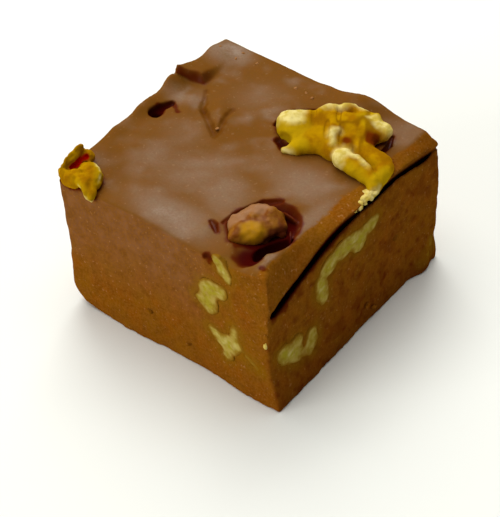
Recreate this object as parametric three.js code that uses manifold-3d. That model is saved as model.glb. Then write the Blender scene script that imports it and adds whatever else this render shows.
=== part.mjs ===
// A square of chocolate walnut fudge, cut by hand from a poured slab.
// The block stands on its flat base, centred on the origin, with +Z up and all sizes in millimetres.
// -Y is its front face, +X its right face, and the poured skin is the top. The knife has cut
// through walnut pieces, which lie flush in the four cut faces, and larger ones are set in the top.
import * as THREE from 'three';
import { mergeVertices } from 'three/addons/utils/BufferGeometryUtils.js';
import Module from 'manifold-3d';

const wasm = await Module();
wasm.setup();

// ---- driving dimensions ------------------------------------------------------------------

const WIDTH = 40.6; // X, a fifth of an 8 inch pan
const DEPTH = 41.0; // Y
const HEIGHT = 25.2; // base to the level of the poured top
const FACET = 1.8; // facet size across the block
const LEVELS = 9; // facets up its sides
const CROWDING = 0.7; // power that crowds those levels towards the top
const EDGE_ROUND = 0.7; // how far the cut edges are worn round
const GAP = 0.3; // clearance between a nut and the fudge that holds it
const SKIRT = 2; // the block is made this much too deep, then trimmed flat at z = 0

const HALF_WIDTH = WIDTH / 2;
const HALF_DEPTH = DEPTH / 2;

// ---- smooth steps and swellings ----------------------------------------------------------

const bell = (t) => Math.exp(-t * t);
const clamp = THREE.MathUtils.clamp;
const ramp = (from, to, t) => THREE.MathUtils.smoothstep(t, from, to);

// A rounded hill on a plane: 1 at its middle, falling to nothing past its two half-widths.
function hill(a, b, { at, size, turn = 0 }) {
  const angle = THREE.MathUtils.degToRad(turn);
  const along = (a - at[0]) * Math.cos(angle) + (b - at[1]) * Math.sin(angle);
  const across = (b - at[1]) * Math.cos(angle) - (a - at[0]) * Math.sin(angle);
  return bell(along / size[0]) * bell(across / size[1]);
}

// A valley along the straight line between two points of a plane, 1 on the line itself.
function valley(a, b, { from, to, width }) {
  const run = [to[0] - from[0], to[1] - from[1]];
  const offset = [a - from[0], b - from[1]];
  const share = (offset[0] * run[0] + offset[1] * run[1]) / (run[0] ** 2 + run[1] ** 2);
  const t = clamp(share, 0, 1);
  return bell(Math.hypot(offset[0] - run[0] * t, offset[1] - run[1] * t) / width);
}

// Low uneven waves, the same for the same place and seed.
function wave(a, b, length, seed) {
  const k = (2 * Math.PI) / length;
  return (
    (Math.sin(a * k + 1.7 * seed) * Math.cos(b * k * 0.83 + 2.3 * seed) +
      Math.sin((a + b) * k * 0.61 + 0.9 * seed)) / 2
  );
}

// ---- the crack under the skin, on the right face -----------------------------------------

const CRACK = {
  start: -20.1, // y where it opens, just behind the front edge
  end: 23, // y where its cutter ends, past the back face
  low: 18.5, // z at the front edge
  climb: { rise: 6.1, from: -22, to: -2 }, // how far it climbs along the face
  droop: { fall: 1.8, from: 8, to: 21 }, // how far it sinks again towards the back
  mouth: 1.6, // widest opening at the face
  depth: 3.6, // how far it reaches in
  drop: 0.9, // how far it drops for each millimetre inwards
  taper: { share: 0.35, length: 3 }, // opening at its start, and how soon it is fully open
  closing: { share: 0.8, from: 17.5, to: 20 }, // how much narrower it gets at the back
  uneven: { share: 0.25, length: 7, seed: 6 }, // how its opening varies along the face
  tip: 0.1, // opening left at its inner end, as a share of the mouth
  steps: 2, // facets from the face to its inner end
};

function crackHeight(y) {
  const { low, climb, droop } = CRACK;
  return low + climb.rise * ramp(climb.from, climb.to, y) - droop.fall * ramp(droop.from, droop.to, y);
}

// ---- the six faces of the block ----------------------------------------------------------

// Swellings of the poured top: where, how wide, how far they rise, and their turn in degrees.
const TOP_SWELLS = [
  { at: [-18.4, 7.2], size: [2.0, 1.1], rise: -0.5, turn: 20 }, // hollow before the lump
  { at: [-21.2, 7.2], size: [1.5, 2.0], rise: 1.6 }, // rim before the lump
  { at: [-20.6, 0.5], size: [1.7, 3.4], rise: 0.9 }, // rim beside the hole
  { at: [-20.6, -7.0], size: [2.2, 5], rise: 0.7 }, // rim of the left edge
  { at: [-20.2, -13.4], size: [2.2, 1.6], rise: 0.3 }, // fudge pushed up by the corner walnut
  { at: [-20.6, 16.4], size: [4, 2.8], rise: 1.3 }, // raised back corner
  { at: [-14, 20.5], size: [9, 2.5], rise: 0.3 }, // rim of the back edge
  { at: [7.5, 20.7], size: [4.6, 2.2], rise: 1.4 }, // lip on the back edge
  { at: [18.5, 19.5], size: [3.5, 3.5], rise: 0.5 }, // right back corner
  { at: [7, -20.5], size: [8, 5], rise: -1.0 }, // sag over the front edge
  { at: [5.2, -15.6], size: [2.6, 1.3], rise: 0.4, turn: 60 }, // swell left of the pit
  { at: [17.5, -18.5], size: [3, 3], rise: 0.7 }, // front corner
  { at: [-2.5, 12.5], size: [2.2, 6], rise: 0.35, turn: -30 }, // swell left of the walnut
  { at: [2, -4], size: [8, 6], rise: -0.35 }, // broad hollow
  { at: [-9.8, 5.4], size: [1.3, 4], rise: 0.5, turn: 38 }, // tongue between the folds
];

// Folds where the pour ran over itself: a crease that splits into the sides of a tongue.
const TOP_FOLDS = [
  { from: [-15.9, 9.5], to: [-12.4, 4.6], width: 0.9, sink: 0.3 },
  { from: [-12.4, 4.6], to: [-7.2, 0.8], width: 1.0, sink: 0.5 },
  { from: [-8.7, 7.2], to: [-7.2, 0.8], width: 0.9, sink: 0.4 },
];

// The lump at the left edge has a steep front, which runs slantwise across the top.
const LUMP = {
  rise: 2.0,
  foot: { at: [-20.6, 8.3], slant: 0.27, length: 1.2 }, // where its front starts, and how long it is
  reach: { from: 16, to: 10 }, // it sinks to the level of the back corner between these y
  inward: { from: -16.1, to: -17.3, spread: 6.5 }, // and into the top between these x
};

function lumpHeight(x, y) {
  const { foot, reach, inward } = LUMP;
  const behind = y - foot.at[1] - foot.slant * (x - foot.at[0]);
  const front = ramp(0, foot.length, behind) * (1 - ramp(reach.to, reach.from, y));
  const side = (1 - ramp(inward.to, inward.from, x)) * bell((x - foot.at[0]) / inward.spread);
  return LUMP.rise * front * side;
}

const TOP_WAVE = { length: 15, height: 0.22, seed: 1 };

function topHeight(x, y) {
  let z = HEIGHT + TOP_WAVE.height * wave(x, y, TOP_WAVE.length, TOP_WAVE.seed) + lumpHeight(x, y);
  for (const swell of TOP_SWELLS) z += swell.rise * hill(x, y, swell);
  for (const fold of TOP_FOLDS) z -= fold.sink * valley(x, y, fold);
  return z;
}

// The base is flat, but its front left corner is worn away upwards.
const WORN_CORNER = { reach: [1.6, 2.4], rise: 5.0 };

function baseHeight(x, y) {
  const along = (x + HALF_WIDTH) / WORN_CORNER.reach[0];
  const inward = (y + HALF_DEPTH) / WORN_CORNER.reach[1];
  return WORN_CORNER.rise * Math.exp(-along) * bell(inward);
}

// Swellings of the upright faces, along the face and up it.
const FACE_SWELLS = {
  right: [
    { at: [16.6, 1], size: [2, 4], rise: 0.9 }, // over the nut at the right back corner
    { at: [20.5, 4.5], size: [2.5, 1.8], rise: -0.3 },
  ],
  left: [
    { at: [7.6, HEIGHT], size: [3.8, 5], rise: 0.6 }, // before the lump
    { at: [-2.6, HEIGHT], size: [1.4, 3], rise: -0.4 },
    { at: [-20.5, 13], size: [8, 7], rise: -0.8 },
  ],
  front: [
    { at: [0, HEIGHT], size: [12, 16], rise: -0.3 },
    { at: [-2, 0], size: [1.2, 2], rise: -0.25 }, // nick in the bottom edge
  ],
  back: [],
};
const FACE_WAVE = { length: 17, height: 0.16 };

function uneven(face, a, b, seed) {
  let out = FACE_WAVE.height * wave(a, b, FACE_WAVE.length, seed);
  for (const swell of FACE_SWELLS[face]) out += swell.rise * hill(a, b, swell);
  return out;
}

// The layer above the crack leans in towards its top edge, less so at both its ends.
const SLAB = {
  lean: 2.8,
  above: 0.2, // the lean is complete this far above the level of the top
  over: 1.2, // and goes on a little past it
  front: { share: 0.36, from: -21, to: -17 },
  back: { share: 0.55, from: 6 },
  late: { power: 2.0, from: -15, to: -20.5 }, // near the front it bends in only near its top
};
// Above its foot the right face lies further in towards the front corner.
const RIGHT_SUNK = { in: 1.0, from: 0, to: -20, foot: [2, 8] };
// Its toe stands out at the front corner.
const RIGHT_TOE = { out: 0.7, less: 0.8, from: -18, to: 4 };
const RIGHT_BACK = { out: 0.25, from: 12, to: 20 };

function rightFace(y, z) {
  const lip = crackHeight(y) + CRACK.mouth / 4;
  const rise = clamp((z - lip) / (HEIGHT + SLAB.above - lip), 0, SLAB.over);
  const { front, back, late } = SLAB;
  const ends = front.share + (1 - front.share) * ramp(front.from, front.to, y);
  const reach = SLAB.lean * ends * (1 - (1 - back.share) * ramp(back.from, HALF_DEPTH, y));
  const sunk = RIGHT_SUNK.in * (1 - ramp(RIGHT_SUNK.to, RIGHT_SUNK.from, y));
  const lean = (reach - sunk) * rise ** (1 + late.power * (1 - ramp(late.to, late.from, y)));
  const toe = RIGHT_TOE.out - RIGHT_TOE.less * ramp(RIGHT_TOE.from, RIGHT_TOE.to, y);
  const out = RIGHT_BACK.out * ramp(RIGHT_BACK.from, RIGHT_BACK.to, y);
  const flat = toe * (1 - z / HEIGHT) ** 2 + out + uneven('right', y, z, 2);
  return flat - lean - sunk * ramp(...RIGHT_SUNK.foot, z);
}

// The left face leans out over its foot, except near the front corner.
const LEFT_EDGE = { out: 0.6, up: 14, from: -18, to: -13, foot: 0.25 };

function leftFace(y, z) {
  const edge = LEFT_EDGE.out * ramp(LEFT_EDGE.up, HEIGHT, z) * ramp(LEFT_EDGE.from, LEFT_EDGE.to, y);
  return edge - LEFT_EDGE.foot * (1 - z / HEIGHT) + uneven('left', y, z, 3);
}

// The front face stands out towards the right, most of all below its middle.
const FRONT_FOOT = { out: 0.6, from: 8, to: 16, low: 12, high: 25 };

function frontFace(x, z) {
  const { out, from, to, low, high } = FRONT_FOOT;
  return out * ramp(from, to, x) * (1 - ramp(low, high, z)) + uneven('front', x, z, 4);
}

// Above the crack the back face steps in towards the right back edge.
const BACK_STEP = { out: 0.25, step: 0.8, from: 12 };

function backFace(x, z) {
  const above = ramp(crackHeight(HALF_DEPTH), HEIGHT, z);
  const step = BACK_STEP.step * above * ramp(BACK_STEP.from, HALF_WIDTH, x);
  return BACK_STEP.out - step + uneven('back', x, z, 5);
}

// ---- geometry helpers --------------------------------------------------------------------

// A closed three.js geometry as a solid.
function solid(geometry) {
  geometry.deleteAttribute('normal');
  geometry.deleteAttribute('uv');
  const merged = mergeVertices(geometry, 1e-4);
  return new wasm.Manifold(
    new wasm.Mesh({
      numProp: 3,
      vertProperties: merged.attributes.position.array,
      triVerts: new Uint32Array(merged.index.array),
    }),
  );
}

// A solid as a three.js geometry.
function geometryOf(body) {
  const mesh = body.getMesh();
  const geometry = new THREE.BufferGeometry();
  geometry.setAttribute('position', new THREE.BufferAttribute(new Float32Array(mesh.vertProperties), 3));
  geometry.setIndex(new THREE.BufferAttribute(new Uint32Array(mesh.triVerts), 1));
  geometry.computeVertexNormals();
  return geometry;
}

// Moves every vertex of a geometry by a function of its place.
function reshape(geometry, place) {
  const points = geometry.attributes.position;
  const point = new THREE.Vector3();
  for (let i = 0; i < points.count; i += 1) {
    point.fromBufferAttribute(points, i);
    place(point);
    points.setXYZ(i, point.x, point.y, point.z);
  }
  return geometry;
}

const union = (bodies) => bodies.reduce((sum, body) => sum.add(body));

function boxSolid(size, centre) {
  return solid(new THREE.BoxGeometry(...size).translate(...centre));
}

// ---- the fudge block ---------------------------------------------------------------------

function wearEdges(point) {
  const inner = new THREE.Vector3(
    clamp(point.x, EDGE_ROUND - HALF_WIDTH, HALF_WIDTH - EDGE_ROUND),
    clamp(point.y, EDGE_ROUND - HALF_DEPTH, HALF_DEPTH - EDGE_ROUND),
    Math.min(point.z, HEIGHT - EDGE_ROUND),
  );
  const out = point.clone().sub(inner);
  if (out.length() > EDGE_ROUND) point.copy(inner).addScaledVector(out.normalize(), EDGE_ROUND);
}

function cutByHand(point) {
  wearEdges(point);
  const { x, y, z } = point;
  const side = x > 0 ? rightFace(y, z) : leftFace(y, z);
  const end = y > 0 ? backFace(x, z) : frontFace(x, z);
  const level = clamp(z / HEIGHT, 0, 1);
  point.x += (side * x) / HALF_WIDTH;
  point.y += (end * y) / HALF_DEPTH;
  point.z += level * (topHeight(x, y) - HEIGHT) + (1 - level) * baseHeight(x, y);
}

// The box's levels stand closer together towards the top, where the relief is.
function blockSolid() {
  const tall = HEIGHT + SKIRT;
  const across = Math.round(WIDTH / FACET);
  const along = Math.round(DEPTH / FACET);
  const box = new THREE.BoxGeometry(WIDTH, DEPTH, 1, across, along, LEVELS).translate(0, 0, 0.5);
  reshape(box, (point) => {
    point.z = tall * point.z ** CROWDING - SKIRT;
  });
  const block = solid(reshape(box, cutByHand));
  const under = 3 * SKIRT;
  return block.subtract(boxSolid([2 * WIDTH, 2 * DEPTH, under], [0, 0, -under / 2]));
}

// The wedge of air in the crack: widest at the right face, closing as it goes in.
function crackSolid() {
  const overshoot = 2; // how far the wedge stands out of the face
  const { start, end, taper, closing, uneven: vary, tip } = CRACK;
  const along = Math.round((end - start) / FACET);
  const wedge = new THREE.BoxGeometry(1, 1, 1, CRACK.steps, along, 1).translate(-0.5, 0.5, 0);
  return solid(
    reshape(wedge, (point) => {
      const y = THREE.MathUtils.lerp(start, end, point.y);
      const inward = -point.x;
      const opened = taper.share + (1 - taper.share) * ramp(start, start + taper.length, y);
      const closed = 1 - closing.share * ramp(closing.from, closing.to, y);
      const open = opened * closed * (1 + vary.share * wave(y, 0, vary.length, vary.seed));
      const reach = overshoot + CRACK.depth * open;
      const thickness = CRACK.mouth * open * (1 + tip - inward);
      const x = HALF_WIDTH + overshoot - reach * inward;
      const middle = crackHeight(y) - CRACK.drop * Math.max(HALF_WIDTH - x, 0);
      point.set(x, y, middle + point.z * thickness);
    }),
  );
}

// ---- walnut pieces -----------------------------------------------------------------------

const LARGE_LOBE = 3.9; // half-size from which a lobe takes fine facets
const SMALL_LOBE = 2.35; // half-size under which it takes coarse ones
const KNOBS = 0.09; // how knobbly a lobe is, as a share of its size

function roundBody(reach) {
  if (reach < SMALL_LOBE) return new THREE.OctahedronGeometry(1, 1);
  return new THREE.IcosahedronGeometry(1, reach < LARGE_LOBE ? 1 : 2);
}

// A lobe's middle, half-sizes and attitude. It is given by its turn in degrees (yaw, pitch and
// roll), or it is a finger with two ends and a thickness.
function layout({ at, size, turn = [0, 0, 0], from, to, thick }) {
  if (!from) {
    const [yaw, pitch, roll] = turn.map(THREE.MathUtils.degToRad);
    const attitude = new THREE.Quaternion().setFromEuler(new THREE.Euler(roll, pitch, yaw, 'ZYX'));
    return { middle: new THREE.Vector3(...at), halves: size, attitude };
  }
  const middle = new THREE.Vector3(...from).add(new THREE.Vector3(...to)).divideScalar(2);
  const run = new THREE.Vector3(...to).sub(middle);
  const halves = [run.length() + thick, thick, thick];
  const attitude = new THREE.Quaternion();
  attitude.setFromUnitVectors(new THREE.Vector3(1, 0, 0), run.normalize());
  return { middle, halves, attitude };
}

// One rounded lobe of a nut; grow makes the pocket that holds it.
function lobe(shape, grow = 0) {
  const { middle, halves, attitude } = layout(shape);
  const ball = roundBody(Math.max(...halves));
  reshape(ball, (point) => {
    const [a, b] = [3 * point.x + middle.x, 3 * point.y + 2 * point.z];
    const knob = 1 + KNOBS * wave(a, b, 3, middle.y);
    point.multiply(new THREE.Vector3(...halves.map((half) => half * knob + grow)));
  });
  ball.applyQuaternion(attitude).translate(...middle);
  return solid(ball);
}

const nutSolid = (lobes, grow = 0) => union(lobes.map((each) => lobe(each, grow)));

// Each nut is a few lobes. A flush nut was cut by the knife, so it ends at the face of the block.
const NUTS = {
  walnut_top: {
    kind: 'kernel',
    lobes: [
      { at: [1.7, 8.7, 26.2], size: [2.5, 2.7, 2.2] }, // left lobe
      { at: [3.6, 7.3, 25.9], size: [2.4, 1.9, 1.8] },
      { from: [6.6, 7.0, 26.0], to: [5.4, 5.3, 25.9], thick: 1.4 }, // its hook
      { from: [5.5, 5.3, 25.9], to: [4.0, 4.1, 25.6], thick: 0.8 },
      { at: [8.0, 9.6, 26.2], size: [4.0, 3.4, 2.2], turn: [40, 0, 0] }, // body
      { at: [6.8, 11.9, 26.4], size: [3.2, 2.4, 1.9], turn: [40, 0, 0] },
      { at: [4.2, 10.4, 26.3], size: [2.0, 1.6, 1.6], turn: [40, 0, 0] },
      { at: [11.4, 13.3, 26.6], size: [3.8, 2.9, 2.2], turn: [15, 0, 0] },
      { from: [2.2, 10.0, 27.1], to: [4.2, 11.6, 27.5], thick: 0.75 }, // rim
      { from: [4.4, 12.4, 27.5], to: [6.7, 14.8, 27.5], thick: 0.85 },
      { from: [6.7, 14.8, 27.5], to: [12.3, 15.5, 27.6], thick: 0.85 },
      { from: [12.3, 15.4, 27.5], to: [15.3, 14.5, 27.3], thick: 0.9 },
      { from: [9.6, 9.7, 28.0], to: [10.0, 7.6, 27.6], thick: 0.6 }, // chip
      { from: [12.9, 6.5, 26.4], to: [16.0, 5.8, 26.3], thick: 1.5 }, // bean
      { from: [16.0, 5.8, 26.3], to: [18.6, 5.3, 25.7], thick: 1.0 },
      { at: [13.0, 10.2, 25.9], size: [2.8, 2.0, 1.4] }, // sheet behind it
      { at: [16.4, 9.3, 25.8], size: [3.6, 2.1, 1.3], turn: [-5, 0, 0] },
      { at: [19.1, 7.0, 25.3], size: [1.2, 2.4, 1.4], turn: [0, 0, 14] }, // tail over the edge
      { at: [19.6, 4.8, 24.8], size: [0.8, 1.3, 1.1], turn: [0, 0, 24] },
    ],
  },
  walnut_corner: {
    kind: 'kernel',
    lobes: [
      { at: [-19.5, -17.7, 27.3], size: [0.7, 2.7, 1.5], turn: [0, 0, 16] }, // flake
      { from: [-19.5, -16.8, 27.7], to: [-19.5, -15.7, 28.2], thick: 0.4 },
      { from: [-19.9, -19.2, 25.6], to: [-19.4, -16.0, 26.0], thick: 0.9 },
      { at: [-18.9, -15.0, 26.2], size: [1.3, 1.0, 1.1] }, // bit behind it
      { at: [-15.8, -18.0, 25.9], size: [3.0, 1.9, 1.7], turn: [-42, 0, 0] }, // main lobe
      { at: [-18.0, -19.9, 25.8], size: [2.1, 1.1, 1.4] },
      { from: [-17.0, -19.6, 26.5], to: [-13.7, -20.5, 25.6], thick: 0.8 }, // tail
      { from: [-13.7, -20.5, 25.6], to: [-13.2, -20.9, 24.7], thick: 0.5 },
    ],
  },
  walnut_pit: {
    kind: 'coated',
    lobes: [
      { at: [10.3, -10.9, 24.8], size: [3.8, 3.4, 2.1], turn: [50, 0, 0] },
      { at: [9.9, -13.7, 24.3], size: [2.4, 1.8, 1.6], turn: [40, 0, 0] },
      { at: [8.2, -12.6, 24.5], size: [2.2, 1.6, 1.5], turn: [60, 0, 0] },
      { from: [11.8, -9.3, 25.1], to: [13.8, -10.1, 24.4], thick: 1.1 },
    ],
  },
  nut_front_edge: {
    kind: 'cut',
    flush: true,
    lobes: [{ at: [11.2, -20.5, 23.1], size: [1.3, 1.2, 2.8], turn: [0, -34, 0] }],
  },
  nut_front_upper: {
    kind: 'cut',
    flush: true,
    lobes: [
      { at: [8.9, -20.3, 18.2], size: [3.0, 1.8, 1.9], turn: [0, -14, 0] },
      { at: [7.9, -20.4, 15.8], size: [1.7, 1.4, 2.8], turn: [0, -12, 0] },
      { at: [6.6, -20.4, 15.2], size: [1.4, 1.1, 0.9], turn: [0, 20, 0] },
    ],
  },
  nut_front_lower: {
    kind: 'cut',
    flush: true,
    lobes: [
      { at: [12.1, -20.3, 9.1], size: [2.9, 1.8, 2.0], turn: [0, -22, 0] },
      { at: [12.9, -20.4, 11.6], size: [1.2, 1.3, 2.0], turn: [0, 8, 0] },
      { at: [9.4, -20.4, 9.5], size: [2.0, 1.2, 1.1], turn: [0, 30, 0] },
      { at: [16.2, -20.4, 8.1], size: [2.5, 1.1, 1.0], turn: [0, 30, 0] },
      { at: [11.3, -20.4, 6.7], size: [1.1, 1.2, 1.8] },
    ],
  },
  nut_right_lower: {
    kind: 'cut',
    flush: true,
    lobes: [
      { at: [19.4, -16.1, 7.8], size: [1.5, 4.1, 2.0], turn: [0, 0, -35] },
      { at: [19.4, -14.7, 9.2], size: [1.3, 1.6, 1.5] },
      { at: [19.5, -11.6, 7.2], size: [1.4, 1.6, 2.9], turn: [0, 0, -12] },
    ],
  },
  nut_right_strip: {
    kind: 'cut',
    flush: true,
    lobes: [
      { at: [19.8, -8.6, 15.1], size: [1.4, 1.6, 3.0], turn: [0, 0, 8] },
      { at: [19.9, -6.8, 18.6], size: [1.4, 2.4, 1.8], turn: [0, 0, 32] },
      { at: [20.0, -2.5, 19.6], size: [1.6, 3.6, 2.0] },
      { at: [20.1, 0.4, 18.5], size: [1.5, 1.9, 2.2], turn: [0, 0, -20] },
      { at: [20.1, 2.8, 19.7], size: [1.4, 2.5, 1.5], turn: [0, 0, 5] },
    ],
  },
  nut_right_corner: {
    kind: 'cut',
    flush: true,
    lobes: [
      { at: [19.4, 17.2, 2.5], size: [1.6, 1.9, 1.8] },
      { at: [19.4, 19.2, 3.8], size: [1.2, 1.2, 1.5] },
    ],
  },
  nut_left_upper: {
    kind: 'cut',
    flush: true,
    lobes: [
      { at: [-19.6, 5.5, 15.2], size: [1.7, 2.6, 1.7], turn: [0, 0, 25] },
      { at: [-19.8, 2.8, 13.6], size: [1.3, 1.5, 1.0] },
    ],
  },
  nut_left_lower: {
    kind: 'cut',
    flush: true,
    lobes: [
      { at: [-19.6, -9.5, 7.4], size: [1.6, 1.5, 2.1], turn: [0, 0, -30] },
      { at: [-19.8, -8.0, 9.6], size: [1.2, 1.7, 0.9], turn: [0, 0, -20] },
    ],
  },
  nut_back_upper: {
    kind: 'cut',
    flush: true,
    lobes: [
      { at: [-7.5, 19.7, 16.4], size: [2.4, 1.7, 1.5], turn: [0, -20, 0] },
      { at: [-10.1, 19.8, 17.6], size: [1.4, 1.3, 1.0] },
    ],
  },
  nut_back_lower: {
    kind: 'cut',
    flush: true,
    lobes: [
      { at: [6.5, 19.6, 7.6], size: [1.7, 1.7, 2.3], turn: [0, -25, 0] },
      { at: [8.6, 19.8, 5.4], size: [1.6, 1.2, 0.9] },
    ],
  },
};

// ---- hollows in the top ------------------------------------------------------------------

// Air beside the coated nut: the dish it lies in, and the dark slot before it.
const PIT = [
  { at: [11.6, -11.2, 25.9], size: [5.4, 6.2, 2.4] },
  { at: [15.1, -13.3, 23.4], size: [3.4, 1.8, 3.4], turn: [66, 0, 0] },
  { at: [13.0, -17.2, 25.6], size: [2.6, 2.4, 1.9] },
];

// The deep narrow hole near the left edge.
const HOLE = [
  { at: [-18.1, -0.2, 24.5], size: [1.0, 1.1, 2.2] },
  { from: [-18.2, -0.2, 25.2], to: [-17.9, 3.0, 25.4], thick: 0.9 },
];

// ---- materials ---------------------------------------------------------------------------

const matt = (name, color, roughness) =>
  new THREE.MeshStandardMaterial({ name, color, roughness, metalness: 0 });

const MATERIALS = {
  fudge: matt('milk_chocolate_fudge', 0x7d4a24, 0.45),
  kernel: matt('walnut_kernel', 0xb98a2c, 0.5),
  coated: matt('coated_walnut', 0x80481c, 0.4),
  cut: matt('cut_walnut', 0xa89858, 0.6),
};

// ---- the part ----------------------------------------------------------------------------

function named(name, body, material) {
  const mesh = new THREE.Mesh(geometryOf(body), material);
  mesh.name = name;
  return mesh;
}

function fudgeSquare() {
  const group = new THREE.Group();
  const block = blockSolid();
  const lift = GAP; // a flush nut stays this far above the ground
  const reachable = block.subtract(boxSolid([2 * WIDTH, 2 * DEPTH, 2 * lift], [0, 0, 0]));
  const air = [crackSolid(), nutSolid(PIT), nutSolid(HOLE)];
  let fudge = block.subtract(union(air));
  for (const [name, nut] of Object.entries(NUTS)) {
    const kernel = nutSolid(nut.lobes);
    const piece = nut.flush ? kernel.intersect(reachable) : kernel;
    fudge = fudge.subtract(nutSolid(nut.lobes, GAP));
    group.add(named(name, piece, MATERIALS[nut.kind]));
  }
  group.add(named('fudge', fudge, MATERIALS.fudge));
  return group;
}

export default fudgeSquare();
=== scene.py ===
"""A square of chocolate walnut fudge on a white table.

The fudge and its nuts are sculpted as clay: a grid of samples, negative inside the solid, in
millimetres. Each finished clay is turned into a mesh in metres, which stands for its CAD node.
-Y is the front face, +X the right face, and the poured skin is the top.
"""

import itertools
import math
from functools import partial

import bmesh
import bpy
import numpy as np
from mathutils import Matrix, Vector


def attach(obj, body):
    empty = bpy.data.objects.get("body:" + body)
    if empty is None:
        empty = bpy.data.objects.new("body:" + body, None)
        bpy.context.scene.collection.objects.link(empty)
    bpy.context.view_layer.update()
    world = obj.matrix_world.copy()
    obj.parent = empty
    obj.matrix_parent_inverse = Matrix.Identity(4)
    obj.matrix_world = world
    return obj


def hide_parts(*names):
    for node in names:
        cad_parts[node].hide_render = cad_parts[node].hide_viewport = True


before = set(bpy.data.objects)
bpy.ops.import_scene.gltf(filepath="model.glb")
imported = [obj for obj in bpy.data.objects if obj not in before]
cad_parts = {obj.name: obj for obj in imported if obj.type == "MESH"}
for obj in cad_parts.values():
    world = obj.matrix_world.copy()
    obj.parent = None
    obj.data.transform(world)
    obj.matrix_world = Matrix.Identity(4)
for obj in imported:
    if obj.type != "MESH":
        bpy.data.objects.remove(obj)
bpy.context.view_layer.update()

MM = 0.001  # metres in a millimetre, the unit of the shapes
WIDTH, DEPTH, HEIGHT = 40.6, 41.0, 25.2
HALF_W, HALF_D = WIDTH / 2, DEPTH / 2
FUDGE_GRID, NUT_GRID = 0.21, 0.15  # spacing of the samples in the block and in a nut
FUDGE_FACES = 190000  # triangles that the block keeps
FAR = 5.0  # a distance clear of every shape
MARGIN = 0.5  # room round a shape that is carved or built, past its softness


# ---- smooth steps, swellings and noise ----


def bell(t):
    return np.exp(-t * t)


def ramp(start, end, t):
    """0 before start and 1 past end, with soft ends; start may be the larger of the two."""
    t = np.clip((t - start) / (end - start), 0, 1)
    return t * t * (3 - 2 * t)


def hill(a, b, at, size, turn=0):
    """A rounded hill on a plane: 1 at its middle, falling to nothing past its half-widths."""
    c, s = math.cos(math.radians(turn)), math.sin(math.radians(turn))
    along = (a - at[0]) * c + (b - at[1]) * s
    across = (b - at[1]) * c - (a - at[0]) * s
    return bell(along / size[0]) * bell(across / size[1])


def swelled(level, a, b, hills):
    """The level with a few hills added: middle, half-widths, rise and perhaps a turn."""
    return sum((rise * hill(a, b, at, size, *turn) for at, size, rise, *turn in hills), level)


def wave(a, b, length, seed):
    """Slow, uneven waves between -1 and 1, of about this length."""
    k = 2 * math.pi / length
    first = np.sin(a * k + 1.7 * seed) * np.cos(b * k * 0.83 + 2.3 * seed)
    return (first + np.sin((a + b) * k * 0.61 + 0.9 * seed)) / 2


def smooth_min(a, b, k):
    """The smaller of the two, blended where they differ by less than k."""
    h = np.clip(0.5 + 0.5 * (b - a) / k, 0, 1)
    return b + (a - b) * h - k * h * (1 - h)


def smooth_max(a, b, k):
    return -smooth_min(-a, -b, k)


TABLE = 4096
RANDOM = np.random.default_rng(7).uniform(-1, 1, TABLE).astype(np.float32)
PRIMES = (73856093, 19349663, 83492791)  # they scatter the cells of the noise over the table


def grain(x, y, z, size, seed):
    """Smooth noise between -1 and 1 at each point, in blobs of the size given."""
    size = np.broadcast_to(size, 3)
    cells, eases = [], []
    for value, length in zip((x, y, z), size):
        scaled = value / length + 100.37 + 3.1 * seed  # each seed reads cells of its own
        cell = np.floor(scaled)
        t = scaled - cell
        cells.append(cell.astype(np.int64))
        eases.append(t * t * (3 - 2 * t))
    total = 0
    for corner in itertools.product((0, 1), repeat=3):
        place, weight = 7919 * seed, 1
        for cell, ease, step, prime in zip(cells, eases, corner, PRIMES):
            place = place ^ ((cell + step) * prime)
            weight = weight * (ease if step else 1 - ease)
        total = total + weight * RANDOM[(place ^ (place >> 13)) & (TABLE - 1)]
    return total


# ---- clay ----


def turning(turn):
    """Rotation by yaw, pitch and roll in degrees."""
    yaw, pitch, roll = (Matrix.Rotation(math.radians(t), 3, a) for t, a in zip(turn, "ZYX"))
    return np.array(yaw @ pitch @ roll)


def egg(x, y, z, at, size, turn=(0, 0, 0)):
    """Distance outside an ellipsoid with these half-sizes."""
    axes = turning(turn)
    dx, dy, dz = x - at[0], y - at[1], z - at[2]
    local = [axes[0, k] * dx + axes[1, k] * dy + axes[2, k] * dz for k in range(3)]
    near = np.sqrt(sum((a / s) ** 2 for a, s in zip(local, size)))
    slope = np.sqrt(sum((a / s**2) ** 2 for a, s in zip(local, size)))
    return near * (near - 1) / np.maximum(slope, 1e-6)


def strand(x, y, z, points, radii):
    """Distance outside a bent rod through a few points, with its thickness at each of them."""
    total = FAR
    for start, end, thick, thin in zip(points, points[1:], radii, radii[1:]):
        run = np.subtract(end, start)
        along = (x - start[0]) * run[0] + (y - start[1]) * run[1] + (z - start[2]) * run[2]
        t = np.clip(along / (run @ run), 0, 1)
        off = [v - s - r * t for v, s, r in zip((x, y, z), start, run)]
        far = np.sqrt(sum(v**2 for v in off))
        total = np.minimum(total, far - thick - (thin - thick) * t)
    return total


def lump(x, y, z, shape):
    """A rod if its first entry is a list of points, and otherwise an ellipsoid."""
    return (strand if isinstance(shape[0], list) else egg)(x, y, z, *shape)


def cluster(x, y, z, shapes, k):
    """Distance outside a few shapes that run into each other."""
    total = FAR
    for shape in shapes:
        total = smooth_min(total, lump(x, y, z, shape), k)
    return total


def extent(shapes, margin):
    """A box around a few shapes."""
    reach = [(np.atleast_2d(shape[0]), max(shape[1]) + margin) for shape in shapes]
    low = np.min([np.min(points, axis=0) - size for points, size in reach], axis=0)
    high = np.max([np.max(points, axis=0) + size for points, size in reach], axis=0)
    return low, high


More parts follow.
